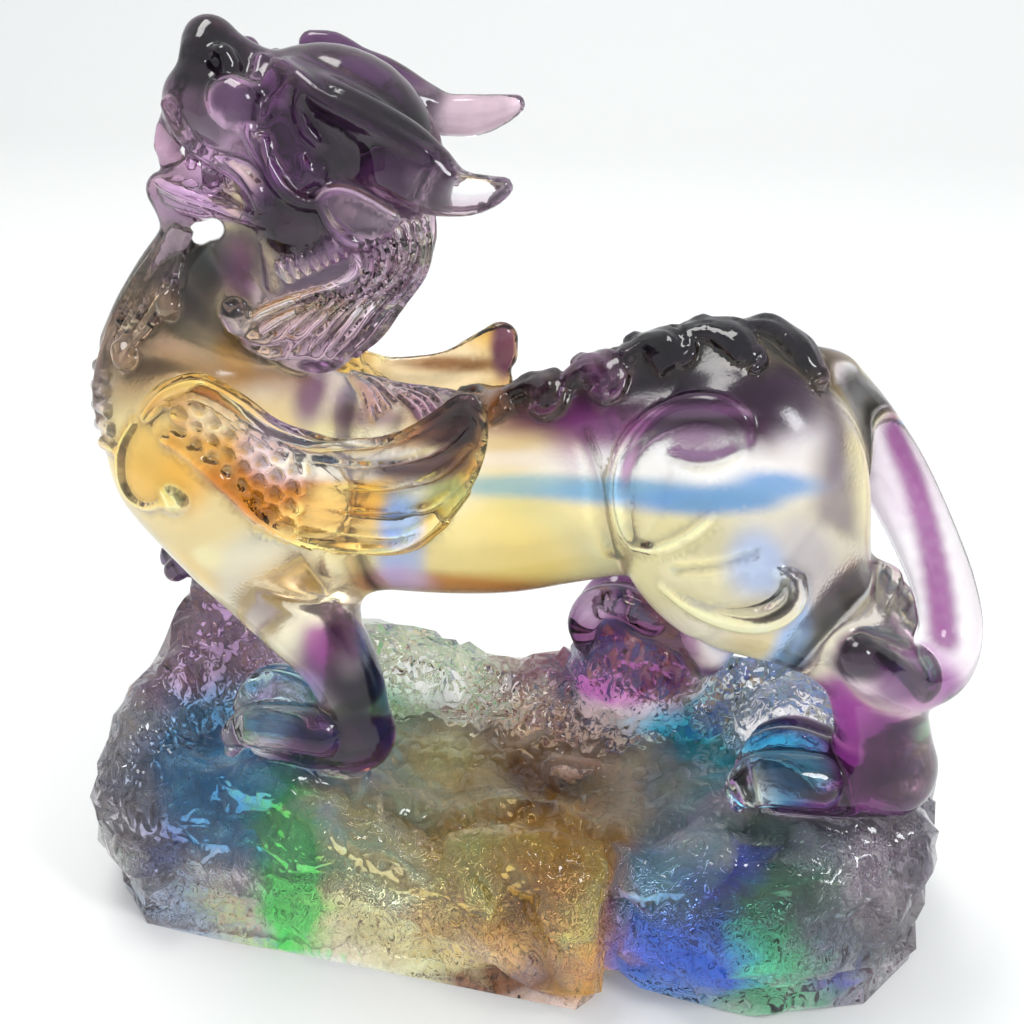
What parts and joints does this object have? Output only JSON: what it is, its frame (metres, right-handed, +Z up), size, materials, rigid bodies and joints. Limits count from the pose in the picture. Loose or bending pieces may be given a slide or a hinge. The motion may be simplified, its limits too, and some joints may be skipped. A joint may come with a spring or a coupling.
{
  "type": "winged lion figurine",
  "caption": "Cast coloured-glass winged lion standing on a rough rock base, head raised and tail curled forward beside a hind leg.",
  "frame": {"origin": "centre of the bounding box's footprint, on the rock's flat underside", "axes": "+Z up; the animal faces -X and its tail is toward +X; the side with the straight-cut rock face is -Y"},
  "size_m": [0.215, 0.09, 0.2158],
  "materials": {
    "glass": "clear coloured cast glass: satin-frosted body, polished head, wings, feet and tail, chipped rock"
  },
  "bodies": {
    "root": {"pixiu_on_rock": "glass"}
  },
  "joints": []
}
